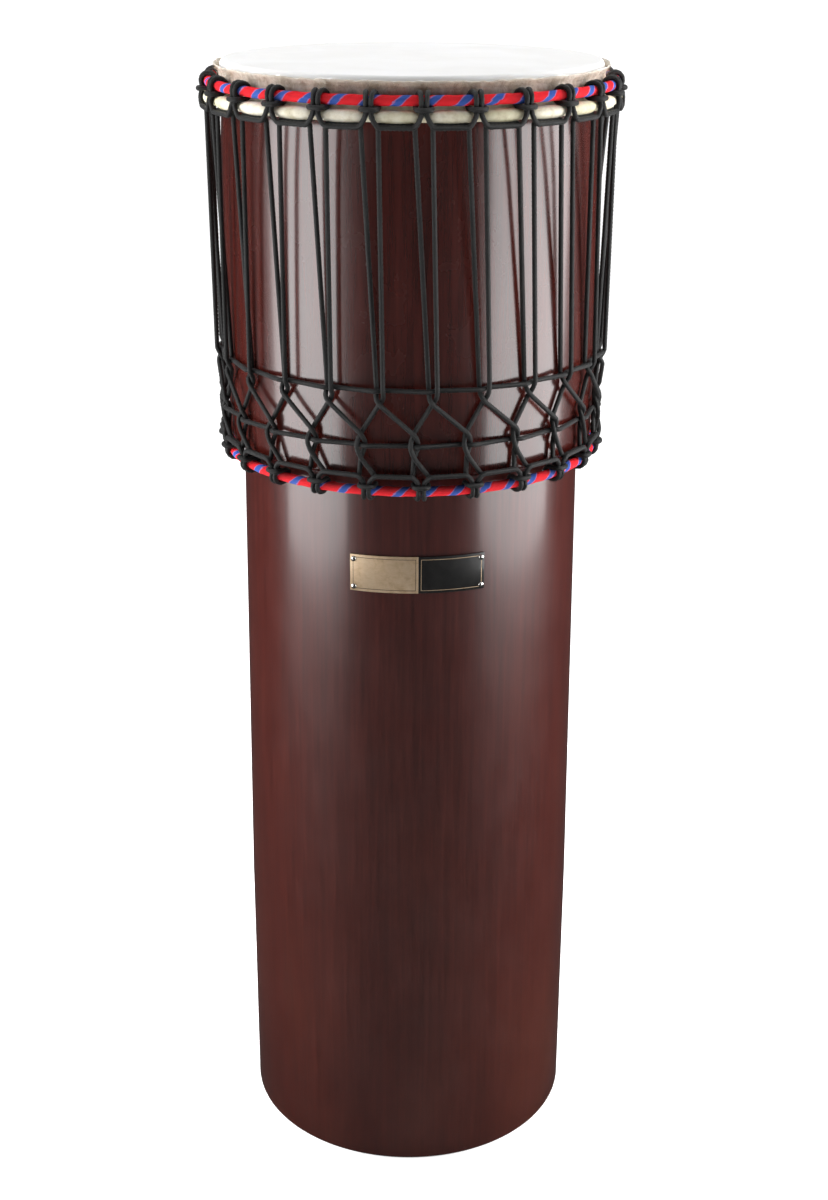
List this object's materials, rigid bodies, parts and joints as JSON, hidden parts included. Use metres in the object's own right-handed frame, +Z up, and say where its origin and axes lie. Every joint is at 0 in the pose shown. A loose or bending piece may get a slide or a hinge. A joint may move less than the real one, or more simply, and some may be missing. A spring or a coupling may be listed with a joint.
{
  "type": "ngoma drum",
  "caption": "Tall free-standing rope-tuned ngoma drum: long open tube, wider upper shell, laced skin head, cloth-wrapped rings and a plain two-tone badge.",
  "frame": {"origin": "centre of the open lower rim, on the surface the drum stands on", "axes": "+Z up along the drum's axis, -Y towards the badge, +X to the right of a person who faces the badge"},
  "size_m": [0.341, 0.3418, 0.9524],
  "materials": {
    "body_wood": "satin",
    "head_skin": "matte",
    "ring_steel": "satin",
    "ring_cloth": "matte",
    "tuning_cord": "matte",
    "badge_brass": "satin",
    "nail_metal": "polished"
  },
  "bodies": {
    "root": {"lower_tube": "body_wood", "upper_shell": "body_wood", "drumhead_skin": "head_skin", "flesh_hoop": "ring_steel", "crown_ring": "ring_steel", "crown_ring_cloth": "ring_cloth", "lower_ring": "ring_steel", "lower_ring_cloth": "ring_cloth", "crown_hitch_cord": "tuning_cord", "lower_hitch_cord": "tuning_cord", "lacing_cord": "tuning_cord", "upper_weaving_cord": "tuning_cord", "lower_weaving_cord": "tuning_cord", "badge_plate": "badge_brass", "nail_upper_left": "nail_metal", "nail_lower_left": "nail_metal", "nail_upper_right": "nail_metal", "nail_lower_right": "nail_metal"}
  },
  "joints": []
}
